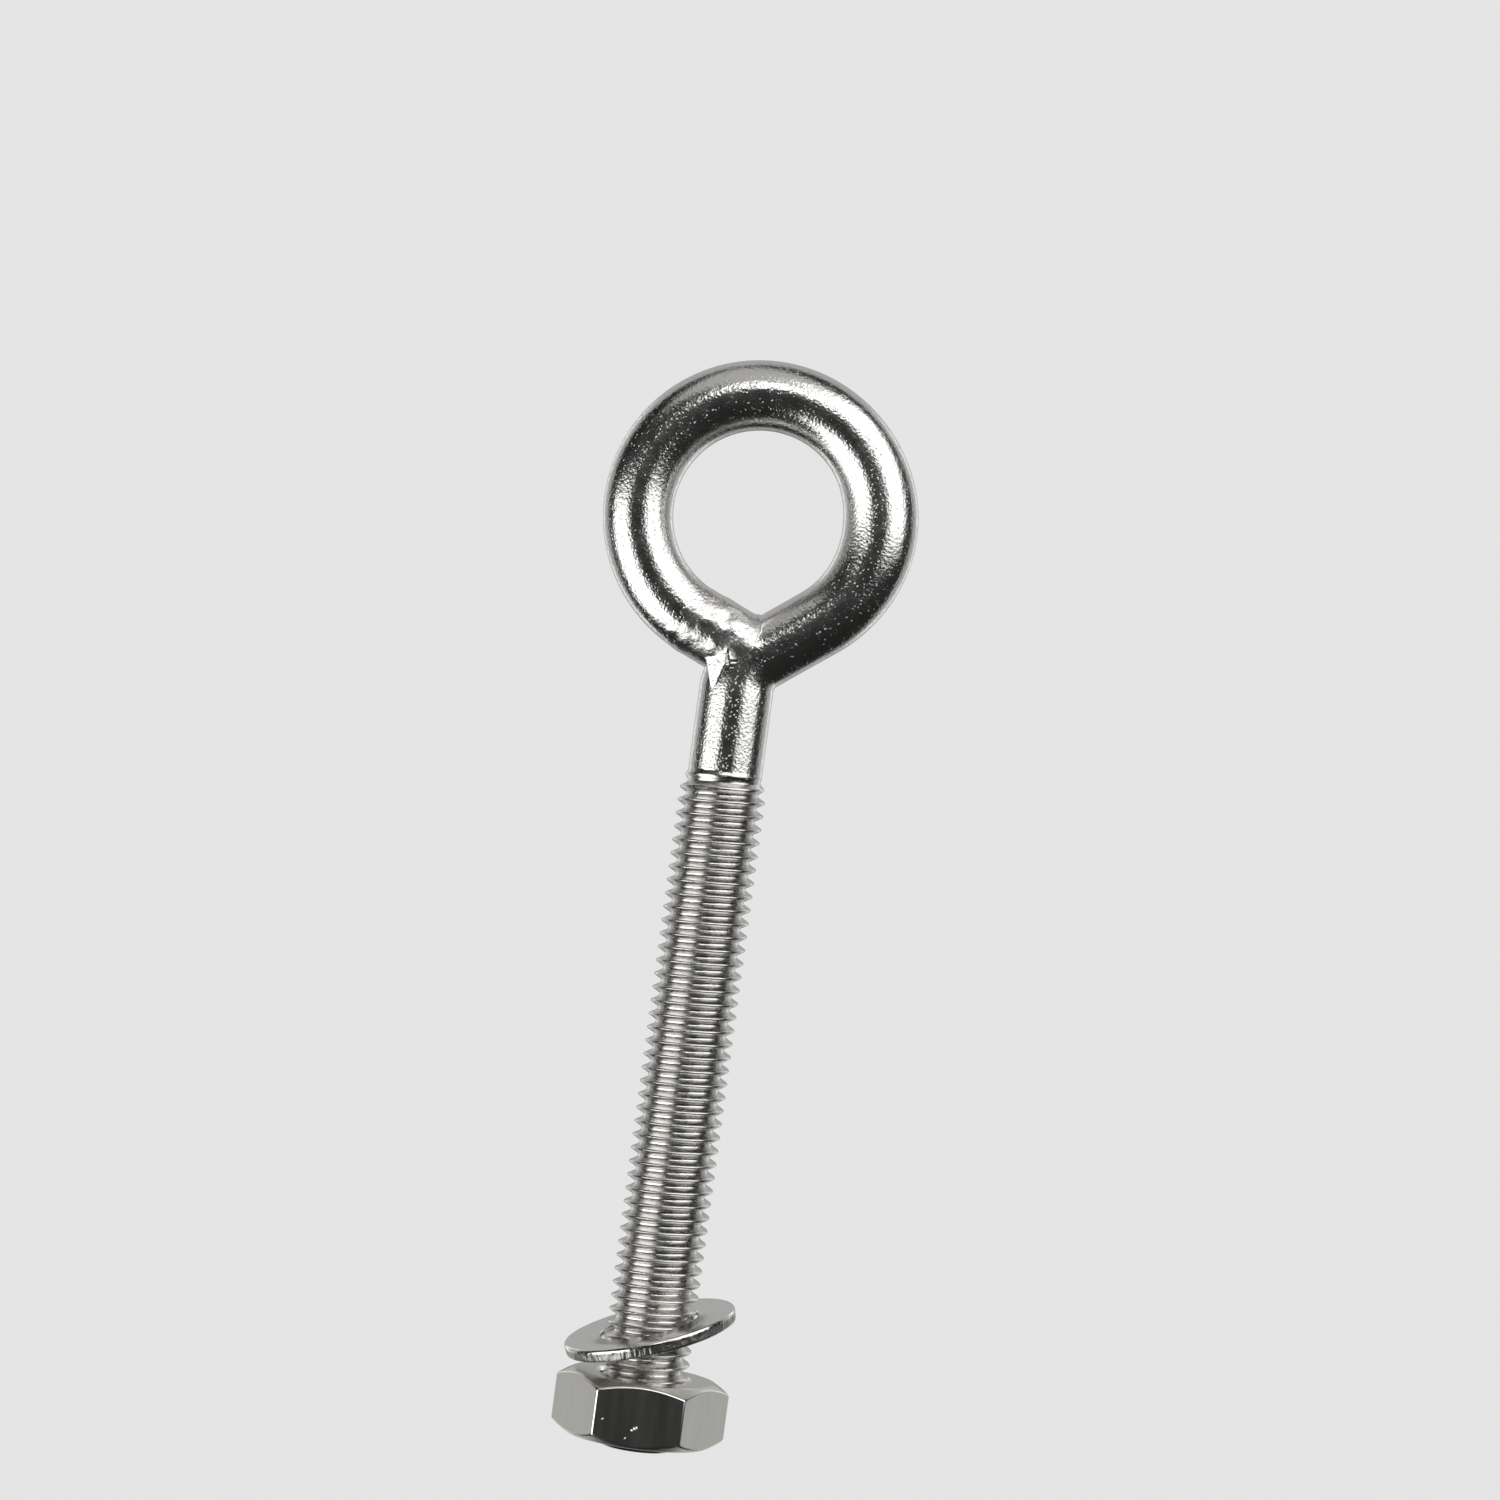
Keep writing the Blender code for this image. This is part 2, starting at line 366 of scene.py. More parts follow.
@dataclass
class EyeBar:
    """The bent bar: thread, shank, neck and the eye, whose end runs back into the neck."""

    shank_radius: float = 4.12 * MM
    eye_bar_radius: float = 3.9 * MM
    neck_radius: float = 4.05 * MM
    swell: float = 0.3 * MM
    swell_angle: float = math.radians(32)
    eye_radius: float = 13.5 * MM
    neck_bend_radius: float = 5.0 * MM
    rising_angle: float = math.radians(37)
    end_angle: float = math.radians(247)
    end_back: float = math.radians(12)
    end_length: float = 7.4 * MM
    end_play: float = 0.015 * MM
    end_reach: float = 6.0 * MM
    thread: ThreadForm = field(default_factory=ThreadForm)
    thread_top: float = -28.5 * MM
    thread_step: float = 0.03 * MM
    run_out: float = 2.5 * MM
    tip: float = ROD_LOW[2]
    tip_radius: float = 3.85 * MM
    tip_chamfer: float = 0.9 * MM
    skin_drop: float = 0.2 * MM
    columns: int = 80
    shank_steps: int = 6
    bend_steps: int = 14
    rise_steps: int = 5
    eye_steps: int = 110

    @property
    def neck_height(self) -> float:
        """Height at which the shank starts to bend, so that its rise meets the eye's circle.

        Returns:
            The height of the bend's centre.
        """
        across = self.neck_bend_radius * (1 - math.sin(self.rising_angle))
        rise = self.neck_bend_radius * math.cos(self.rising_angle)
        tangent = across * math.sin(self.rising_angle) - self.eye_radius
        return tangent / math.cos(self.rising_angle) - rise

    @property
    def bend_centre(self) -> Vector:
        """The point that the neck bends about."""
        return Vector((self.neck_bend_radius, 0.0, self.neck_height))

    @property
    def rise_foot(self) -> Vector:
        """Where the neck's bend ends and its straight rise starts."""
        across = direction(self.rising_angle + math.pi / 2)
        return self.bend_centre + across * self.neck_bend_radius

    @property
    def rise_length(self) -> float:
        """Length of the straight rise between the neck's bend and the eye's circle."""
        top = direction(self.rising_angle - math.pi / 2) * self.eye_radius
        return (top - self.rise_foot).length

    def thread_radius(self, radius: float, height: float) -> float:
        """Fade the full thread into the shank and chamfer it at the tip.

        Args:
            radius: The full thread's radius at a vertex.
            height: The vertex's height.

        Returns:
            The radius that it has on the bar.
        """
        share = min(1.0, max(0.0, (self.thread_top - height) / self.run_out))
        base = self.shank_radius - (self.thread_step if height < self.thread_top else 0.0)
        taper = (self.thread.crest_radius - self.tip_radius) / self.tip_chamfer
        chamfer = self.tip_radius + (height - self.tip) * taper
        return min(base + (radius - base) * share, max(chamfer, self.tip_radius))

    def build_thread(self) -> Piece:
        """Make the threaded length and the start of the shank.

        Returns:
            A mesh that is closed at both ends.
        """
        stem = self.thread.build("eye_bar", self.tip, self.thread_top, self.columns)
        trim(stem, self.tip, keep_above=True)
        trim(stem, self.thread_top + self.thread.pitch, keep_above=False)
        move_radially(stem, self.thread_radius)
        return stem

    def bend_up(self, stem: Piece) -> None:
        """Draw the top of the stem on through the neck and round the eye.

        Args:
            stem: The threaded length.
        """
        edit(stem)
        top = max(vertex.co.z for vertex in stem.data.vertices)
        select_faces(stem, lambda face: all(abs(v.co.z - top) < 1e-7 for v in face.verts))
        push(Vector((0.0, 0.0, self.neck_height - top)), self.shank_steps)
        swing(self.bend_centre, -(math.pi / 2 - self.rising_angle), self.bend_steps)
        push(direction(self.rising_angle) * self.rise_length, self.rise_steps)
        sweep = self.end_angle - (self.rising_angle - math.pi / 2)
        swing(Vector(), sweep, self.eye_steps)
        leave_edit()

    def section_at(self, flat: Vector) -> tuple[Vector, float]:
        """The bar's centre line and radius nearest to a place past the shank.

        Args:
            flat: The place, in the plane of the eye.

        Returns:
            The point on the centre line, and the radius there.
        """
        rounding = 0.01
        eye_start = math.tau + self.rising_angle - math.pi / 2
        angle = math.atan2(flat.z, flat.x) % math.tau
        if not self.end_angle + rounding < angle < eye_start:
            around = (angle + math.pi) % math.tau - math.pi
            swollen = self.swell * math.exp(-((around / self.swell_angle) ** 2))
            return flat.normalized() * self.eye_radius, self.eye_bar_radius + swollen
        spoke = flat - self.bend_centre
        turn = math.atan2(spoke.z, spoke.x)
        if turn <= self.rising_angle + math.pi / 2:
            rise = direction(self.rising_angle)
            return self.rise_foot + rise * (flat - self.rise_foot).dot(rise), self.eye_bar_radius
        share = (math.pi - turn) / (math.pi / 2 - self.rising_angle)
        thinned = (self.eye_bar_radius - self.shank_radius) * share
        return (
            self.bend_centre + spoke.normalized() * self.neck_bend_radius,
            self.shank_radius + thinned,
        )

    def reshape(self, stem: Piece) -> None:
        """Let the bar thin through the neck and swell at the side of the eye.

        Args:
            stem: The bent bar, as thick as the shank all along.
        """
        beside_shank = 1.5 * self.shank_radius
        for vertex in stem.data.vertices:
            place = vertex.co
            if place.z < self.neck_height and abs(place.x) < beside_shank:
                continue
            centre, radius = self.section_at(Vector((place.x, 0.0, place.z)))
            vertex.co = centre + (place - centre) * (radius / self.shank_radius)
        stem.data.update()

    def build_limb(self, name: str, radius: float, back: float, length: float) -> Piece:
        """Make round bar that follows the last of the eye and runs straight on.

        Args:
            name: The object's name.
            radius: The bar's radius.
            back: How far round the eye it starts before the eye's end.
            length: How far it runs on past the eye's end.

        Returns:
            A closed mesh.
        """
        arc_steps, straight_steps = 6, 4
        start = self.end_angle - back
        deselect_all()
        bpy.ops.mesh.primitive_circle_add(
            vertices=ROUND_SIDES,
            radius=radius,
            fill_type="NGON",
            location=direction(start) * self.eye_radius,
            rotation=(0.0, -start, 0.0),
        )
        limb = added(name)
        apply_place()
        edit(limb)
        swing(Vector(), self.end_angle - start, arc_steps)
        push(direction(self.end_angle + math.pi / 2) * length, straight_steps)
        leave_edit()
        return limb

    def build(self) -> Piece:
        """Make the whole bar.

        Returns:
            One closed mesh from the tip round to the weld.
        """
        stem = self.build_thread()
        self.bend_up(stem)
        self.reshape(stem)
        settle(stem)
        radius = self.eye_bar_radius - self.end_play
        end = self.build_limb("eye_end", radius, self.end_back, self.end_length)
        settle(end)
        combine(stem, end, "UNION")
        settle(stem)
        return stem

    def dress(self, stem: Piece) -> None:
        """Give the bar its pebbled skin, and the rolled thread its smoother one.

        Args:
            stem: The finished bar.
        """
        BAR_FINISH.dress(stem)
        stem.data.materials.append(THREAD_FINISH.build())
        for face in stem.data.polygons:
            if face.center.z < self.thread_top - self.skin_drop:
                face.material_index = 1

    def front_at(self, x: float, z: float) -> float:
        """Find the foremost surface of the bar near the neck.

        Args:
            x: Place across the bolt.
            z: Place along the bolt.

        Returns:
            Y of the surface that faces the viewer there.
        """
        place = Vector((x, 0.0, z))
        sections = []
        foot = direction(self.end_angle) * self.eye_radius
        along = direction(self.end_angle + math.pi / 2)
        if (place - foot).dot(along) < self.end_reach:
            sections.append((self.eye_bar_radius, off_line(place, foot, along)))
        spoke = place - self.bend_centre
        if z < self.neck_height:
            sections.append((self.shank_radius, abs(x)))
        elif math.atan2(spoke.z, spoke.x) > self.rising_angle + math.pi / 2:
            sections.append((self.neck_radius, abs(spoke.length - self.neck_bend_radius)))
        else:
            gap = off_line(place, self.rise_foot, direction(self.rising_angle))
            sections.append((self.eye_bar_radius, gap))
        return -max(math.sqrt(max(0.0, r * r - gap * gap)) for r, gap in sections)


# ---------------------------------------------------------------- the weld


@dataclass
class EyeWeld:
    """The weld that closes the eye: a lumpy collar, a smooth run down the shank, a filled V.

    The seam is a list of (x, z) corners in millimetres, from inside the eye down the shank.
    """

    bar: EyeBar
    collar_proud: float = 0.07 * MM
    collar_back: float = math.radians(12)
    collar_length: float = 9.0 * MM
    collar_sunk: float = 0.045
    run_angle: float = math.radians(30)
    run_proud: float = 0.06 * MM
    run_top: float = -14.4 * MM
    run_foot: float = -19.6 * MM
    run_width: float = 2.75 * MM
    run_inside: float = 0.6 * MM
    run_narrowing: float = 0.35
    run_back: float = 0.25
    run_foot_sunk: float = 0.1 * MM
    fillet_place: tuple[float, float, float] = (1.913 * MM, 0.0, -15.576 * MM)
    fillet_size: tuple[float, float, float] = (1.25, 3.87, 4.86)
    fillet_tilt: float = math.radians(-7)
    fillet_foot: float = -14.4 * MM
    voxel: float = 0.09 * MM
    lump_size: float = 1.3 * MM
    lump_height: float = 0.1 * MM
    calm_foot: float = -17.2 * MM
    calm_fade: float = 2.5 * MM
    calm_least: float = 0.12
    grain_size: float = 0.35 * MM
    grain_height: float = 0.012 * MM
    seam_line_radius: float = 0.11 * MM
    seam_line_proud: float = 0.06 * MM
    crack_radius: float = 0.17 * MM
    crack_aside: float = 0.1
    sway: float = 0.12
    sway_rate: float = 1.7
    seam: tuple[tuple[float, float], ...] = (
        (3.2, -9.0),
        (2.07, -11.44),
        (1.88, -12.4),
        (1.33, -14.3),
        (0.69, -15.5),
        (0.21, -16.1),
        (-0.4, -16.5),
        (-1.0, -16.6),
        (-1.68, -16.9),
        (-2.0, -18.0),
        (-2.33, -19.3),
        (-2.7, -21.0),
    )

    def build_collar(self) -> Piece:
        """Make the metal that wraps the end of the eye, sinking into the bar where it starts.

        Returns:
            A closed mesh.
        """
        radius = self.bar.eye_bar_radius + self.collar_proud
        collar = self.bar.build_limb(
            "eye_weld_bead", radius, self.collar_back, self.collar_length
        )
        start = self.bar.end_angle - self.collar_back
        for vertex in collar.data.vertices:
            angle = math.atan2(vertex.co.z, vertex.co.x) % math.tau
            share = max(0.0, 1.0 - (angle - start) / self.collar_back)
            flat = Vector((vertex.co.x, 0.0, vertex.co.z))
            centre = flat.normalized() * self.bar.eye_radius
            if share > 0.0:
                vertex.co = vertex.co.lerp(centre, self.collar_sunk * share**2)
        collar.data.update()
        settle(collar)
        return collar

    def build_run(self) -> Piece:
        """Make the smooth tongue of weld that ran down the left of the shank.

        Returns:
            A closed mesh.
        """
        facing = Vector((-math.sin(self.run_angle), -math.cos(self.run_angle), 0.0))
        across = Vector((-math.cos(self.run_angle), math.sin(self.run_angle), 0.0))
        front = facing * (self.bar.shank_radius + self.run_proud)
        deselect_all()
        bpy.ops.mesh.primitive_cube_add(size=2.0 * MM)
        run = added("weld_run")
        for vertex in run.data.vertices:
            low = vertex.co.z < 0
            outer = vertex.co.x < 0
            near = vertex.co.y < 0
            width = self.run_width * (self.run_narrowing if low else 1.0)
            side = across * (width if outer else -self.run_inside)
            vertex.co = side + front * (1.0 if near else self.run_back)
            vertex.co.z = self.run_foot if low else self.run_top
            if near and low:
                vertex.co -= facing * self.run_foot_sunk
        run.data.update()
        settle(run)
        return run

    def build_seam_cutter(self) -> Piece:
        """Make the cutter for everything beyond the line where the weld stops.

        Returns:
            A closed mesh.
        """
        far, half_depth = 9.0, 8.0 * MM
        points = [*self.seam, (far, self.seam[-1][1]), (far, self.seam[0][1])]
        deselect_all()
        bpy.ops.mesh.primitive_circle_add(vertices=len(points), radius=MM, fill_type="NGON")
        cutter = added("seam_cutter")
        for vertex, (x, z) in zip(cutter.data.vertices, points):
            vertex.co = (x * MM, -half_depth, z * MM)
        edit(cutter)
        push(Vector((0.0, 2 * half_depth, 0.0)), 1)
        leave_edit()
        settle(cutter)
        return cutter

    def build_fillet(self) -> Piece:
        """Make the metal that rounds the inside of the V.

        Returns:
            A closed mesh.
        """
        deselect_all()
        bpy.ops.mesh.primitive_ico_sphere_add(
            subdivisions=5, radius=MM, location=self.fillet_place
        )
        fillet = added("weld_fillet")
        fillet.scale = self.fillet_size
        fillet.rotation_euler = (0.0, self.fillet_tilt, 0.0)
        apply_place()
        trim(fillet, self.fillet_foot, keep_above=True)
        return fillet

    def build_rod(
        self, name: str, corners: Sequence[tuple[float, float]], radius: float, proud: float
    ) -> Piece:
        """Make a fine rod that follows the steel's front surface along a line.

        Args:
            name: The object's name.
            corners: (x, z) places along the line, in millimetres.
            radius: Thickness of the rod at its middle.
            proud: How far its centre stands in front of the surface.

        Returns:
            A closed mesh.
        """
        steps = 6
        end_share, share_step = 0.35, 0.2
        places = []
        for here, there in zip(corners, corners[1:]):
            for step in range(steps):
                share = step / steps
                places.append([a + (b - a) * share for a, b in zip(here, there)])
        places.append(corners[-1])
        curve = bpy.data.curves.new(name, "CURVE")
        curve.dimensions = "3D"
        curve.bevel_depth = radius
        curve.bevel_resolution = 3
        curve.use_fill_caps = True
        spline = curve.splines.new("POLY")
        spline.points.add(len(places) - 1)
        for index, (x, z) in enumerate(places):
            x += noise.noise(Vector((x, 0.0, z)) * self.sway_rate) * self.sway
            y = self.bar.front_at(x * MM, z * MM) - proud
            spline.points[index].co = (x * MM, y, z * MM, 1.0)
            from_end = min(index, len(places) - 1 - index)
            spline.points[index].radius = min(1.0, end_share + share_step * from_end)
        rod = bpy.data.objects.new(name, curve)
        bpy.context.scene.collection.objects.link(rod)
        pick(rod)
        bpy.ops.object.convert(target="MESH")
        rod = bpy.context.object
        settle(rod, 60.0)
        return rod

    def build_seam_line(self) -> Piece:
        """Make the fine raised line where the end of the eye meets the neck.

        Returns:
            A closed mesh.
        """
        return self.build_rod(
            "eye_seam_line", self.seam[1:7], self.seam_line_radius, self.seam_line_proud
        )

    def open_crack(self, stem: Piece) -> None:
        """Cut the open crack at the foot of the seam.

        Args:
            stem: The bar that it is cut in.
        """
        corners = [(x + self.crack_aside, z) for x, z in self.seam[6:11]]
        crack = self.build_rod("crack", corners, self.crack_radius, 0.0)
        combine(stem, crack, "DIFFERENCE")
        settle(stem)

    def roughen(self, bead: Piece) -> None:
        """Raise the lumps and the grain that the melt froze with.

        Args:
            bead: The smooth weld.
        """
        moves = []
        for vertex in bead.data.vertices:
            place = vertex.co
            calm = min(1.0, max(self.calm_least, (place.z - self.calm_foot) / self.calm_fade))
            lump = noise.noise(place / self.lump_size) * self.lump_height * calm
            grain = noise.noise(place / self.grain_size + Vector((7.0, 3.0, 1.0)))
            moves.append(vertex.normal * (lump + grain * self.grain_height * calm))
        for vertex, move in zip(bead.data.vertices, moves):
            vertex.co += move
        bead.data.update()

    def build(self) -> Piece:
        """Make the weld's bead.

        Returns:
            One closed lumpy mesh.
        """
        bead = self.build_collar()
        combine(bead, self.build_run(), "UNION")
        combine(bead, self.build_seam_cutter(), "DIFFERENCE")
        combine(bead, self.build_fillet(), "UNION")
        apply_modifier(bead, "REMESH", mode="VOXEL", voxel_size=self.voxel)
        apply_modifier(bead, "SMOOTH", factor=0.5, iterations=4)
        self.roughen(bead)
        settle(bead, 60.0)
        return bead

    def dress(self, piece: Piece) -> None:
        """Give the bead or the seam line the weld's lumpy skin."""
        WELD_FINISH.dress(piece)


# ---------------------------------------------------------------- the nut


@dataclass
class HexNut:
    """The hexagon nut at the tip of the thread.

    Each ding is (x, z, radius) of a small knock in the front flat, in millimetres.
    """

    flats: float = NUT_HIGH[1] - NUT_LOW[1]
    bottom: float = NUT_LOW[2]
    top: float = NUT_HIGH[2]
    face_radius: float = 7.85 * MM
    chamfer_reach: float = 3.0 * MM
    edge_softness: float = 0.17 * MM
    countersink_radius: float = 5.45 * MM
    countersink_slope: float = 1.2
    crest_radius: float = 4.3 * MM
    root_radius: float = 5.12 * MM
    crest_flat: float = 0.45 * MM
    overrun: float = 0.4 * MM
    columns: int = 80
    turned_sides: int = 144
    ding_height: float = 0.74
    ding_wobble: float = 0.35
    ding_wobble_size: float = 0.3 * MM
    ding_length: float = 1.15
    dings: tuple[tuple[float, float, float], ...] = (
        (-0.45, -101.0, 0.36),
        (-0.15, -100.85, 0.28),
        (-3.85, -100.3, 0.17),
        (-1.15, -102.1, 0.16),
        (4.45, -102.3, 0.17),
    )

    @property
    def height(self) -> float:
        """Distance between the nut's two faces."""
        return self.top - self.bottom

    @property
    def middle(self) -> float:
        """Height half way between the nut's two faces."""
        return self.bottom + self.height / 2

    def build_blank(self) -> Piece:
        """Make the hexagon, both ends turned to a cone and its edges softened.

        Returns:
            A closed mesh without a hole.
        """
        deselect_all()
        bpy.ops.mesh.primitive_cylinder_add(
            vertices=6,
            radius=self.flats / 2 / math.cos(math.pi / 6),
            depth=self.height,
            location=(0.0, 0.0, self.middle),
            rotation=(0.0, 0.0, math.pi / 6),
        )
        blank = added("hexagon_nut")
        apply_place()
        combine(blank, self.build_turning(), "INTERSECT")
        settle(blank)
        apply_modifier(
            blank,
            "BEVEL",
            width=self.edge_softness,
            segments=5,
            limit_method="ANGLE",
            angle_limit=math.radians(22),
            harden_normals=False,
        )
        settle(blank)
        return blank

    def build_turning(self) -> Piece:
        """Make the double cone that the hexagon's corners are turned down to.

        Returns:
            A closed mesh.
        """
        wide = self.face_radius + self.chamfer_reach
        deselect_all()
        bpy.ops.mesh.primitive_cylinder_add(
            vertices=self.turned_sides,
            radius=wide,
            depth=self.height,
            location=(0.0, 0.0, self.middle),
        )
        turning = added("turning")
        apply_place()
        edit(turning)
        for side in (-1, 1):
            bpy.ops.mesh.select_all(action="SELECT")
            shoulder = self.height / 2 - self.chamfer_reach * FLANK_SLOPE
            bpy.ops.mesh.bisect(
                plane_co=(0.0, 0.0, self.middle + side * shoulder),
                plane_no=(0.0, 0.0, 1.0),
                threshold=1e-8,
            )
        leave_edit()
        for vertex in turning.data.vertices:
            if abs(abs(vertex.co.z - self.middle) - self.height / 2) < 1e-6:
                vertex.co.x *= self.face_radius / wide
                vertex.co.y *= self.face_radius / wide
        settle(turning)
        return turning

    def opened(self, radius: float, height: float) -> float:
        """Widen the threaded hole to its countersink towards each face.

        Args:
            radius: The thread's radius at a vertex.
            height: The vertex's height.

        Returns:
            The radius that the hole has there.
        """
        outside = max(self.bottom - height, height - self.top)
        return max(radius, self.countersink_radius + outside * self.countersink_slope)

    def build_tap(self) -> Piece:
        """Make the solid that leaves the threaded hole when it is taken away.

        Returns:
            A closed mesh.
        """
        form = ThreadForm(
            crest_radius=self.root_radius,
            root_radius=self.crest_radius,
            crest_flat=self.crest_flat,
        )
        tap = form.build("tap", self.bottom, self.top, self.columns)
        trim(tap, self.bottom - self.overrun, keep_above=True)
        trim(tap, self.top + self.overrun, keep_above=False)
        move_radially(tap, self.opened)
        settle(tap)
        return tap

    def build_ding(self, x: float, z: float, size: float) -> Piece:
        """Make the cutter for one small knock in the front flat.

        Args:
            x: Its place across the flat, in millimetres.
            z: Its height, in millimetres.
            size: Its radius, in millimetres.

        Returns:
            A closed, slightly lopsided ball.
        """
        deselect_all()
        bpy.ops.mesh.primitive_ico_sphere_add(
            subdivisions=3,
            radius=size * MM,
            location=(x * MM, -self.flats / 2 - size * self.ding_height * MM, z * MM),
        )
        ding = added("ding")
        apply_place()
        centre = Vector((x * MM, -self.flats / 2, z * MM))
        for vertex in ding.data.vertices:
            stretch = 1.0 + self.ding_wobble * noise.noise(vertex.co / self.ding_wobble_size)
            offset = vertex.co - centre
            offset.x *= stretch
            offset.z *= self.ding_length
            vertex.co = centre + offset
        return ding

    def build(self) -> Piece:
        """Make the nut.

        Returns:
            One closed mesh with its threaded hole.
        """
        nut = self.build_blank()
        combine(nut, self.build_tap(), "DIFFERENCE")
        cutter, *others = [self.build_ding(*ding) for ding in self.dings]
        for other in others:
            combine(cutter, other, "UNION")
        combine(nut, cutter, "DIFFERENCE")
        settle(nut, 24.0)
        return nut

    def dress(self, nut: Piece) -> None:
        """Give the nut its brushed skin."""
        NUT_FINISH.dress(nut)


# ---------------------------------------------------------------- the washer


@dataclass
class PlainWasher:
    """The punched washer that hangs askew on the thread above the nut."""

    radius: float = 9.7 * MM
    hole_radius: float = 5.6 * MM
    thickness: float = 1.4 * MM
    edge: float = 0.2 * MM
    height: float = (WASHER_LOW[2] + WASHER_HIGH[2]) / 2
    roll: float = math.radians(19.6)
    lean: float = math.radians(5.5)
    columns: int = 720
    torn_middle: float = -0.15 * MM
    torn_half_height: float = 0.44 * MM
    fine_tear: float = 0.05 * MM
    fine_rate: float = 62.0
    coarse_tear: float = 0.08 * MM
    coarse_rate: float = 27.0
    tear_set_back: float = 0.04 * MM

    def outline(self) -> list[tuple[float, float, float]]:
        """Draw the washer's section.

        Returns:
            Corners as (radius, height, share of the torn edge's roughness).
        """
        half = self.thickness / 2
        rim, bore, edge = self.radius, self.hole_radius, self.edge
        return [
            (bore + edge * 0.6, half, 0.0),
            (rim - edge * 1.6, half, 0.0),
            (rim - edge * 1.0, half - edge * 0.14, 0.0),
            (rim - edge * 0.55, half - edge * 0.5, 0.0),
            (rim - edge * 0.24, half - edge * 1.0, 0.05),
            (rim - edge * 0.06, half - edge * 1.6, 0.1),
            (rim - edge * 0.02, half - edge * 2.2, 0.5),
            (rim - edge * 0.1, half - edge * 2.9, 1.0),
            (rim - edge * 0.25, -half + edge * 2.6, 1.0),
            (rim - edge * 0.35, -half + edge * 1.6, 1.0),
            (rim - edge * 0.55, -half + edge * 0.6, 0.8),
            (rim - edge * 0.85, -half + edge * 0.1, 0.4),
            (rim - edge * 1.2, -half, 0.0),
            (bore + edge * 0.8, -half, 0.0),
            (bore + edge * 0.2, -half + edge * 0.3, 0.0),
            (bore, -half + edge, 0.2),
            (bore, half - edge, 0.1),
            (bore + edge * 0.15, half - edge * 0.35, 0.0),
        ]

    @property
    def place(self) -> Matrix:
        """Where the washer hangs on the thread, and how it is tilted."""
        turn = Matrix.Rotation(-self.roll, 4, "Y") @ Matrix.Rotation(self.lean, 4, "X")
        return Matrix.Translation((0.0, 0.0, self.height)) @ turn

    def tear(self, washer: Piece, section: Sequence[tuple[float, float, float]]) -> None:
        """Score the rim as a blunt punch leaves it.

        Args:
            washer: The smooth ring, not yet tilted.
            section: The outline that it was turned from.
        """
        share_at = {
            (round(radius / MM, 3), round(height / MM, 3)): share
            for radius, height, share in section
        }
        for vertex in washer.data.vertices:
            x, y, z = vertex.co
            radius = math.hypot(x, y)
            share = share_at.get((round(radius / MM, 3), round(z / MM, 3)), 0.0)
            if share == 0.0:
                continue
            turn = math.atan2(y, x)
            around = Vector((math.cos(turn), math.sin(turn), 0.0))
            fine = noise.noise(around * self.fine_rate + Vector((0.0, 0.0, z / MM * 0.5)))
            coarse = noise.noise(around * self.coarse_rate + Vector((3.0, 0.0, z / MM * 0.7)))
            torn = self.fine_tear * fine + self.coarse_tear * coarse - self.tear_set_back
            pushed = radius + share * torn
            vertex.co = (math.cos(turn) * pushed, math.sin(turn) * pushed, z)
        washer.data.update()

    def build(self) -> Piece:
        """Make the washer.

        Returns:
            One closed ring, already in its askew place.
        """
        section = self.outline()
        points = [(radius, 0.0, height) for radius, height, _ in section]
        washer = draw_outline("plain_washer", points, closed=True)
        edit(washer)
        bpy.ops.mesh.spin(
            steps=self.columns, angle=math.tau, center=(0.0, 0.0, 0.0), axis=(0.0, 0.0, 1.0)
        )
        bpy.ops.mesh.select_all(action="SELECT")
        weld_doubles(1e-6)
        leave_edit()
        self.tear(washer, section)
        washer.data.transform(self.place)
        settle(washer, 50.0)
        return washer

    def dress(self, washer: Piece) -> None:
        """Give the faces their scratched skin, and the torn part of the rim a dull one.

        Args:
            washer: The finished ring.
        """
        WASHER_FINISH.dress(washer)
        washer.data.materials.append(RIM_FINISH.build())
        upright = self.place.inverted()
        for face in washer.data.polygons:
            middle = upright @ face.center
            outside = math.hypot(middle.x, middle.y) > self.radius - self.edge
            if outside and abs(middle.z - self.torn_middle) < self.torn_half_height:
                face.material_index = 1


# ---------------------------------------------------------------- finishes


class Grain(Enum):
    """How a finish's surface is worked."""

    PEBBLED = "pebbled"
    LUMPY = "lumpy"
    BRUSHED = "brushed"
    SCRATCHED = "scratched"


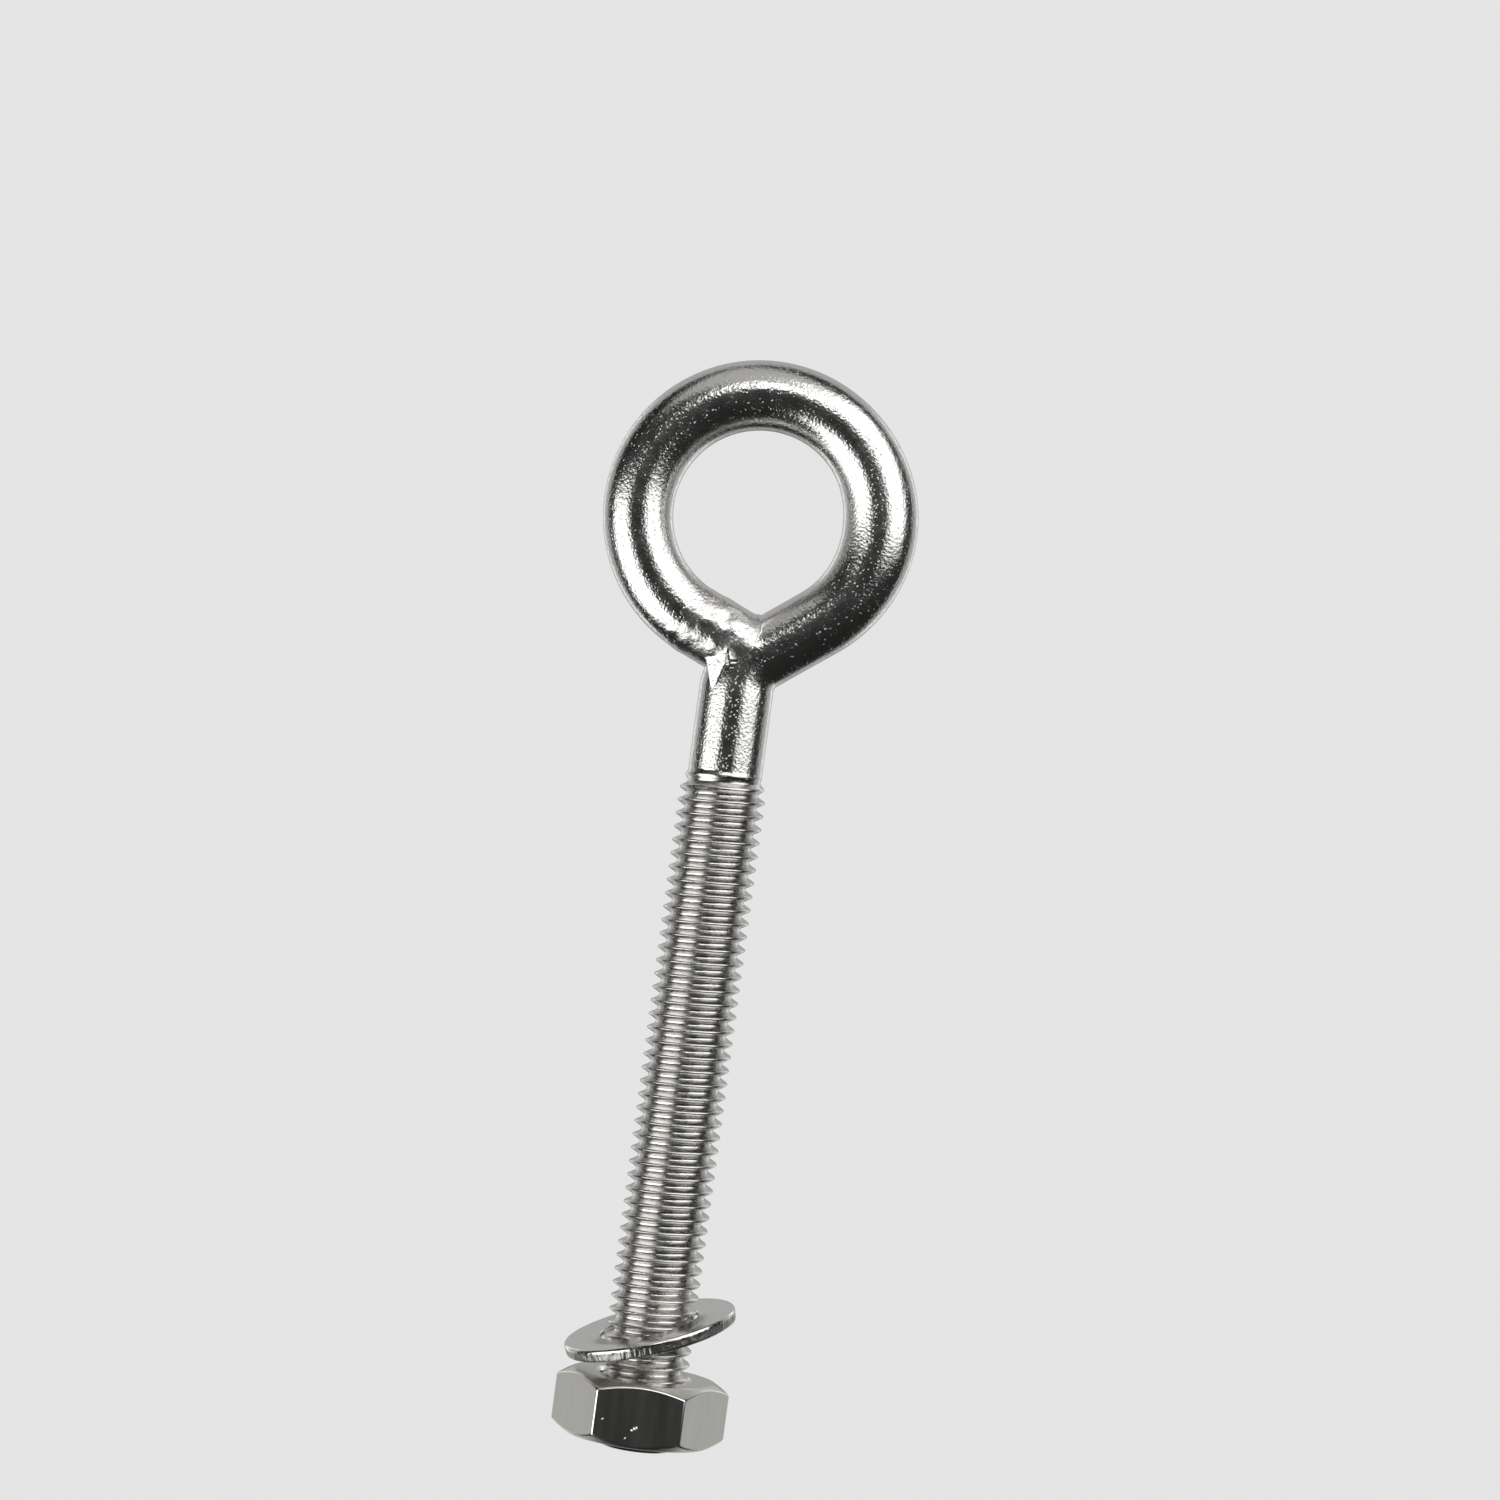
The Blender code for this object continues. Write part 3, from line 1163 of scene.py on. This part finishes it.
@dataclass
class Wiring:
    """Short calls that add and link the shader nodes of one material."""

    tree: bpy.types.NodeTree

    def node(self, kind: str, place: Socket | None = None, **values: object) -> bpy.types.Node:
        """Add a node.

        Args:
            kind: The node's type.
            place: What feeds its Vector input.
            values: Its other inputs, by name.

        Returns:
            The new node.
        """
        node = self.tree.nodes.new(kind)
        if place is not None:
            self.tree.links.new(place, node.inputs["Vector"])
        for name, value in values.items():
            node.inputs[name].default_value = value
        return node

    def ramp(
        self,
        source: Socket,
        start: float,
        end: float,
        low: float,
        high: float,
        smooth: bool = False,
    ) -> Socket:
        """Map a value from one range to another, and hold it inside.

        Args:
            source: The value.
            start: Where the ramp starts.
            end: Where it ends.
            low: What it gives at its start.
            high: What it gives at its end.
            smooth: Whether it eases in and out.

        Returns:
            The mapped value.
        """
        node = self.tree.nodes.new("ShaderNodeMapRange")
        node.interpolation_type = "SMOOTHSTEP" if smooth else "LINEAR"
        sockets = ("From Min", "From Max", "To Min", "To Max")
        for name, value in zip(sockets, (start, end, low, high)):
            node.inputs[name].default_value = value
        self.tree.links.new(source, node.inputs["Value"])
        return node.outputs["Result"]

    def multiply_add(self, value: Socket, factor: Socket | float, more: Socket) -> Socket:
        """Multiply a value by a factor and add more to it.

        Args:
            value: The value.
            factor: A number, or another value.
            more: What is added.

        Returns:
            The sum.
        """
        node = self.tree.nodes.new("ShaderNodeMath")
        node.operation = "MULTIPLY_ADD"
        self.tree.links.new(value, node.inputs[0])
        if isinstance(factor, float):
            node.inputs[1].default_value = factor
        else:
            self.tree.links.new(factor, node.inputs[1])
        self.tree.links.new(more, node.inputs[2])
        return node.outputs["Value"]


@dataclass(frozen=True)
class Finish:
    """A bare metal finish, made procedurally on object coordinates.

    The roughness wanders by its spread either way, and the grain stands up by its depth. The
    shares say how much larger than the grain the pebbles, pits and scratches are, and how fine
    the patches of roughness are beside it.
    """

    name: str
    colour: tuple[float, float, float]
    roughness: float
    spread: float
    grain: Grain
    grain_size: float
    bump: float
    bump_depth: float
    pits: float = 0.0
    pebble_share: float = 1.3
    pit_share: float = 1.15
    scratch_share: float = 1.25
    patch_share: float = 0.16

    def stretching(self) -> tuple[float, float, float]:
        """Say how the grain is drawn out.

        Returns:
            Its fineness along each axis. Less than one draws it out.
        """
        if self.grain is Grain.BRUSHED:
            return (1.0, 1.0, 0.1)
        if self.grain is Grain.SCRATCHED:
            return (0.6, 0.3, 1.0)
        return (1.0, 1.0, 1.0)

    def pebbles(self, wiring: Wiring, place: Socket, fine: Socket) -> Socket:
        """Dimple and pit the grain, as an acid polish leaves drawn bar.

        Args:
            wiring: The material's nodes.
            place: The object's own coordinates.
            fine: The grain's height.

        Returns:
            The height with its dimples and pits.
        """
        pebble, pit = self.pebble_share * self.grain_size, self.pit_share * self.grain_size
        cells = wiring.node("ShaderNodeTexVoronoi", place, Scale=1.0 / pebble)
        cells.feature = "SMOOTH_F1"
        cells.inputs["Smoothness"].default_value = 0.6
        dimpled = wiring.multiply_add(cells.outputs["Distance"], 0.8, fine)
        spots = wiring.node("ShaderNodeTexVoronoi", place, Scale=1.0 / pit)
        sunk = wiring.ramp(spots.outputs["Distance"], 0.08, 0.38, -1.0, 0.0, smooth=True)
        chosen = wiring.ramp(spots.outputs["Color"], 0.45, 0.95, 0.0, self.pits)
        return wiring.multiply_add(sunk, chosen, dimpled)

    def scratches(self, wiring: Wiring, place: Socket, fine: Socket) -> Socket:
        """Cut sparse long scratches into the grain.

        Args:
            wiring: The material's nodes.
            place: The object's own coordinates.
            fine: The grain's height.

        Returns:
            The height with its scratches.
        """
        drawn = wiring.node(
            "ShaderNodeMapping", place, Rotation=(0.2, 0.5, 0.7), Scale=(0.07, 1.0, 1.0)
        ).outputs["Vector"]
        fineness = 1.0 / (self.scratch_share * self.grain_size)
        lines = wiring.node("ShaderNodeTexNoise", drawn, Scale=fineness, Detail=1.0)
        cut = wiring.ramp(lines.outputs["Fac"], 0.62, 0.68, 0.0, -2.2, smooth=True)
        return wiring.multiply_add(cut, 1.0, fine)

    def build(self) -> bpy.types.Material:
        """Make the material.

        Returns:
            The new material.
        """
        material = bpy.data.materials.new(self.name)
        material.use_nodes = True
        wiring = Wiring(material.node_tree)
        shader = wiring.tree.nodes["Principled BSDF"]
        shader.inputs["Metallic"].default_value = 1.0
        shader.inputs["Base Color"].default_value = (*self.colour, 1.0)
        place = wiring.node("ShaderNodeTexCoord").outputs["Object"]
        mapping = wiring.node("ShaderNodeMapping", place, Scale=self.stretching())
        drawn = mapping.outputs["Vector"]
        grain = wiring.node("ShaderNodeTexNoise", drawn, Scale=1.0 / self.grain_size, Detail=3.0)
        patches = wiring.node(
            "ShaderNodeTexNoise",
            drawn if self.grain is Grain.BRUSHED else place,
            Scale=self.patch_share / self.grain_size,
            Detail=2.0,
        )
        low, high = self.roughness - self.spread, self.roughness + self.spread
        rough = wiring.ramp(patches.outputs["Fac"], 0.3, 0.7, low, high)
        wiring.tree.links.new(rough, shader.inputs["Roughness"])
        height = grain.outputs["Fac"]
        if self.grain is Grain.SCRATCHED:
            height = self.scratches(wiring, place, height)
        if self.grain in (Grain.PEBBLED, Grain.LUMPY):
            height = self.pebbles(wiring, place, height)
        bump = wiring.node("ShaderNodeBump", Strength=self.bump, Distance=self.bump_depth)
        wiring.tree.links.new(height, bump.inputs["Height"])
        wiring.tree.links.new(bump.outputs["Normal"], shader.inputs["Normal"])
        return material

    def dress(self, piece: Piece) -> None:
        """Give a piece this finish alone."""
        piece.data.materials.clear()
        piece.data.materials.append(self.build())


BAR_FINISH = Finish(
    "bar_steel", (0.80, 0.79, 0.77), 0.215, 0.03, Grain.PEBBLED, 0.27 * MM, 1.0, 0.025 * MM, 1.7
)
THREAD_FINISH = Finish(
    "thread_steel", (0.72, 0.71, 0.69), 0.25, 0.03, Grain.SCRATCHED, 0.2 * MM, 0.7, 0.008 * MM
)
WELD_FINISH = Finish(
    "weld_metal", (0.80, 0.79, 0.77), 0.27, 0.05, Grain.LUMPY, 0.27 * MM, 1.0, 0.022 * MM, 1.4
)
WASHER_FINISH = Finish(
    "washer_steel", (0.80, 0.79, 0.76), 0.19, 0.04, Grain.SCRATCHED, 0.16 * MM, 0.5, 0.006 * MM
)
RIM_FINISH = Finish(
    "torn_rim_steel", (0.46, 0.45, 0.43), 0.36, 0.06, Grain.SCRATCHED, 0.14 * MM, 0.8, 0.02 * MM
)
NUT_FINISH = Finish(
    "nut_steel", (0.90, 0.89, 0.84), 0.23, 0.02, Grain.BRUSHED, 0.16 * MM, 0.3, 0.003 * MM
)


# ---------------------------------------------------------------- the studio


@dataclass(frozen=True)
class SoftBox:
    """A soft light that faces the middle of the bolt.

    Polar is its angle from the camera's axis, and around its angle about that axis from the
    camera's right, both in degrees. The rest is in metres and watts.
    """

    name: str
    polar: float
    around: float
    distance: float
    size: tuple[float, float]
    power: float


@dataclass
class Studio:
    """The pale floor, the wall that the steel mirrors, the soft boxes and the camera."""

    camera_roll: float = math.radians(7.65)
    camera_place: tuple[float, float, float] = (0.002402, -0.490, -0.02581)
    lens: float = 105.84
    sensor: float = 36.0
    aim: tuple[float, float, float] = (0.0, 0.0, -0.04)
    bowl_radius: float = 2.5
    wall_radius: float = 2.25
    wall_start: float = 0.39
    floor_height: float = -0.9
    sweep: float = 0.25
    floor_glow: float = 0.78
    wall_glow: float = 0.45
    dark_glow: float = 0.05
    dark_start: float = 0.08
    dark_end: float = 0.26
    dark_lift: float = 0.11
    darkness: tuple[float, float, float, float] = (0.015, 0.015, 0.0145, 1.0)
    soft_boxes: tuple[SoftBox, ...] = (
        SoftBox("right_softbox", 57.0, 30.0, 1.2, (1.2, 1.5), 9.4),
        SoftBox("left_softbox", 60.0, 200.0, 1.2, (1.2, 1.3), 10.4),
        SoftBox("back_right_strip", 147.0, 0.0, 1.3, (0.3, 1.5), 1.0),
        SoftBox("back_left_strip", 147.0, 180.0, 1.3, (0.3, 1.5), 1.0),
        SoftBox("overhead_panel", 72.0, 95.0, 1.3, (1.2, 1.2), 2.0),
        SoftBox("top_strip", 33.0, 78.0, 1.25, (0.6, 0.26), 1.6),
    )

    @property
    def axes(self) -> tuple[Vector, Vector, Vector]:
        """The camera's own directions.

        Returns:
            Its right, its up and its backward direction.
        """
        right = Vector((math.cos(self.camera_roll), 0.0, math.sin(self.camera_roll)))
        up = Vector((-math.sin(self.camera_roll), 0.0, math.cos(self.camera_roll)))
        return right, up, Vector((0.0, -1.0, 0.0))

    def hang(self, box: SoftBox) -> None:
        """Hang a soft box in its place.

        Args:
            box: Its place, size and power.
        """
        right, up, back = self.axes
        polar, around = math.radians(box.polar), math.radians(box.around)
        flat = right * math.cos(around) + up * math.sin(around)
        toward = back * math.cos(polar) + flat * math.sin(polar)
        light = bpy.data.lights.new(box.name, "AREA")
        light.shape = "RECTANGLE"
        light.size, light.size_y = box.size
        light.energy = box.power
        lamp = bpy.data.objects.new(box.name, light)
        lamp.location = Vector(self.aim) + toward * box.distance
        lamp.rotation_euler = toward.to_track_quat("Z", "Y").to_euler()
        bpy.context.scene.collection.objects.link(lamp)
        lamp.visible_camera = False

    @staticmethod
    def pale_paint(name: str, glow: float) -> bpy.types.Material:
        """Make matt pale paint, evenly lit.

        Args:
            name: The material's name.
            glow: Its brightness.

        Returns:
            The new material.
        """
        material = bpy.data.materials.new(name)
        material.use_nodes = True
        shader = material.node_tree.nodes["Principled BSDF"]
        shader.inputs["Base Color"].default_value = (0.0, 0.0, 0.0, 1.0)
        shader.inputs["Roughness"].default_value = 1.0
        shader.inputs["Specular IOR Level"].default_value = 0.0
        shader.inputs["Emission Color"].default_value = (1.0, 1.0, 1.0, 1.0)
        shader.inputs["Emission Strength"].default_value = glow
        return material

    def build_bowl(self, name: str, radius: float, glow: float) -> Piece:
        """Make a floor that sweeps up into a wall all round.

        Args:
            name: The object's name.
            radius: Distance to the wall.
            glow: Brightness of its matt pale paint.

        Returns:
            The bowl.
        """
        deselect_all()
        bpy.ops.mesh.primitive_uv_sphere_add(
            segments=ROUND_SIDES, ring_count=64, radius=radius, location=(0.0, 0.0, 0.0)
        )
        bowl = added(name)
        edit(bowl)
        bpy.ops.mesh.flip_normals()
        leave_edit()
        for vertex in bowl.data.vertices:
            depth = self.floor_height - vertex.co.z
            vertex.co.z += 0.5 * (depth + math.hypot(depth, self.sweep))
        bpy.ops.object.shade_smooth()
        bowl.data.materials.append(self.pale_paint(name, glow))
        return bowl

    def darken_middle(self, wall: Piece) -> None:
        """Darken the middle of the mirrored wall, so that round bar shows its form in it.

        Args:
            wall: The evenly lit wall.
        """
        wiring = Wiring(wall.data.materials[0].node_tree)
        shader = wiring.tree.nodes["Principled BSDF"]
        across = 1 / self.bowl_radius
        squeeze = wiring.node(
            "ShaderNodeMapping",
            wiring.node("ShaderNodeTexCoord").outputs["Object"],
            Location=(0.0, 0.0, self.dark_lift),
            Scale=(across, 0.0, across),
        )
        reach = wiring.node("ShaderNodeVectorMath")
        reach.operation = "LENGTH"
        wiring.tree.links.new(squeeze.outputs["Vector"], reach.inputs[0])
        glow = wiring.ramp(
            reach.outputs["Value"],
            self.dark_start,
            self.dark_end,
            self.dark_glow,
            self.wall_glow,
            smooth=True,
        )
        wiring.tree.links.new(glow, shader.inputs["Emission Strength"])

    def build_surround(self) -> None:
        """Make the pale floor that is seen, and the dimmer wall that the steel mirrors."""
        floor = self.build_bowl("studio_floor", self.bowl_radius, self.floor_glow)
        floor.visible_glossy = False
        wall = self.build_bowl("mirrored_wall", self.wall_radius, self.wall_glow)
        wall.visible_camera = False
        edit(wall)
        bpy.ops.mesh.bisect(
            plane_co=(0.0, self.wall_radius * self.wall_start, 0.0),
            plane_no=(0.0, 1.0, 0.0),
            clear_inner=True,
            threshold=1e-6,
        )
        leave_edit()
        self.darken_middle(wall)

    def build_world(self) -> None:
        """Make the darkness outside the bowl."""
        world = bpy.data.worlds.new("studio")
        bpy.context.scene.world = world
        world.use_nodes = True
        shader = world.node_tree.nodes["Background"]
        shader.inputs["Color"].default_value = self.darkness
        shader.inputs["Strength"].default_value = 1.0

    def build_camera(self) -> None:
        """Set up the camera, square on to the eye and rolled a little."""
        camera = bpy.data.cameras.new("camera")
        camera.lens = self.lens
        camera.sensor_width = self.sensor
        camera.clip_start, camera.clip_end = 0.01, 20.0
        holder = bpy.data.objects.new("camera", camera)
        turn = Matrix(self.axes).transposed().to_4x4()
        holder.matrix_world = Matrix.Translation(self.camera_place) @ turn
        bpy.context.scene.collection.objects.link(holder)
        bpy.context.scene.camera = holder

    def build(self) -> None:
        """Set up everything that isn't the bolt."""
        bpy.context.scene.view_settings.view_transform = "Standard"
        self.build_world()
        self.build_surround()
        for box in self.soft_boxes:
            self.hang(box)
        self.build_camera()


# ---------------------------------------------------------------- the whole part


def fit(piece: Piece, body: str, slot: str, *nodes: str) -> None:
    """Say where a finished piece belongs in the part.

    Args:
        piece: The dressed piece.
        body: The body that it rides on.
        slot: The name of its material slot; not used.
        nodes: The CAD nodes that it stands for.
    """
    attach(piece, body)
    if nodes:
        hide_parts(*nodes)
    log.info("%s, %d faces", piece.name, len(piece.data.polygons))


def main() -> None:
    """Build every piece, dress it and set up the studio."""
    logging.basicConfig(level=logging.INFO, format="%(name)s: %(message)s")
    bar = EyeBar()
    weld = EyeWeld(bar)
    stem = bar.build()
    weld.open_crack(stem)
    bar.dress(stem)
    fit(stem, "eye_bolt", "bar_steel", "eye_rod")
    bead = weld.build()
    weld.dress(bead)
    fit(bead, "eye_bolt", "weld_metal", "eye_weld")
    seam = weld.build_seam_line()
    weld.dress(seam)
    fit(seam, "eye_bolt", "weld_metal")
    washer = PlainWasher()
    ring = washer.build()
    washer.dress(ring)
    fit(ring, "washer", "washer_steel", "flat_washer")
    nut = HexNut()
    hexagon = nut.build()
    nut.dress(hexagon)
    fit(hexagon, "nut", "nut_steel", "hex_nut")
    Studio().build()


if __name__ == "__main__":
    main()
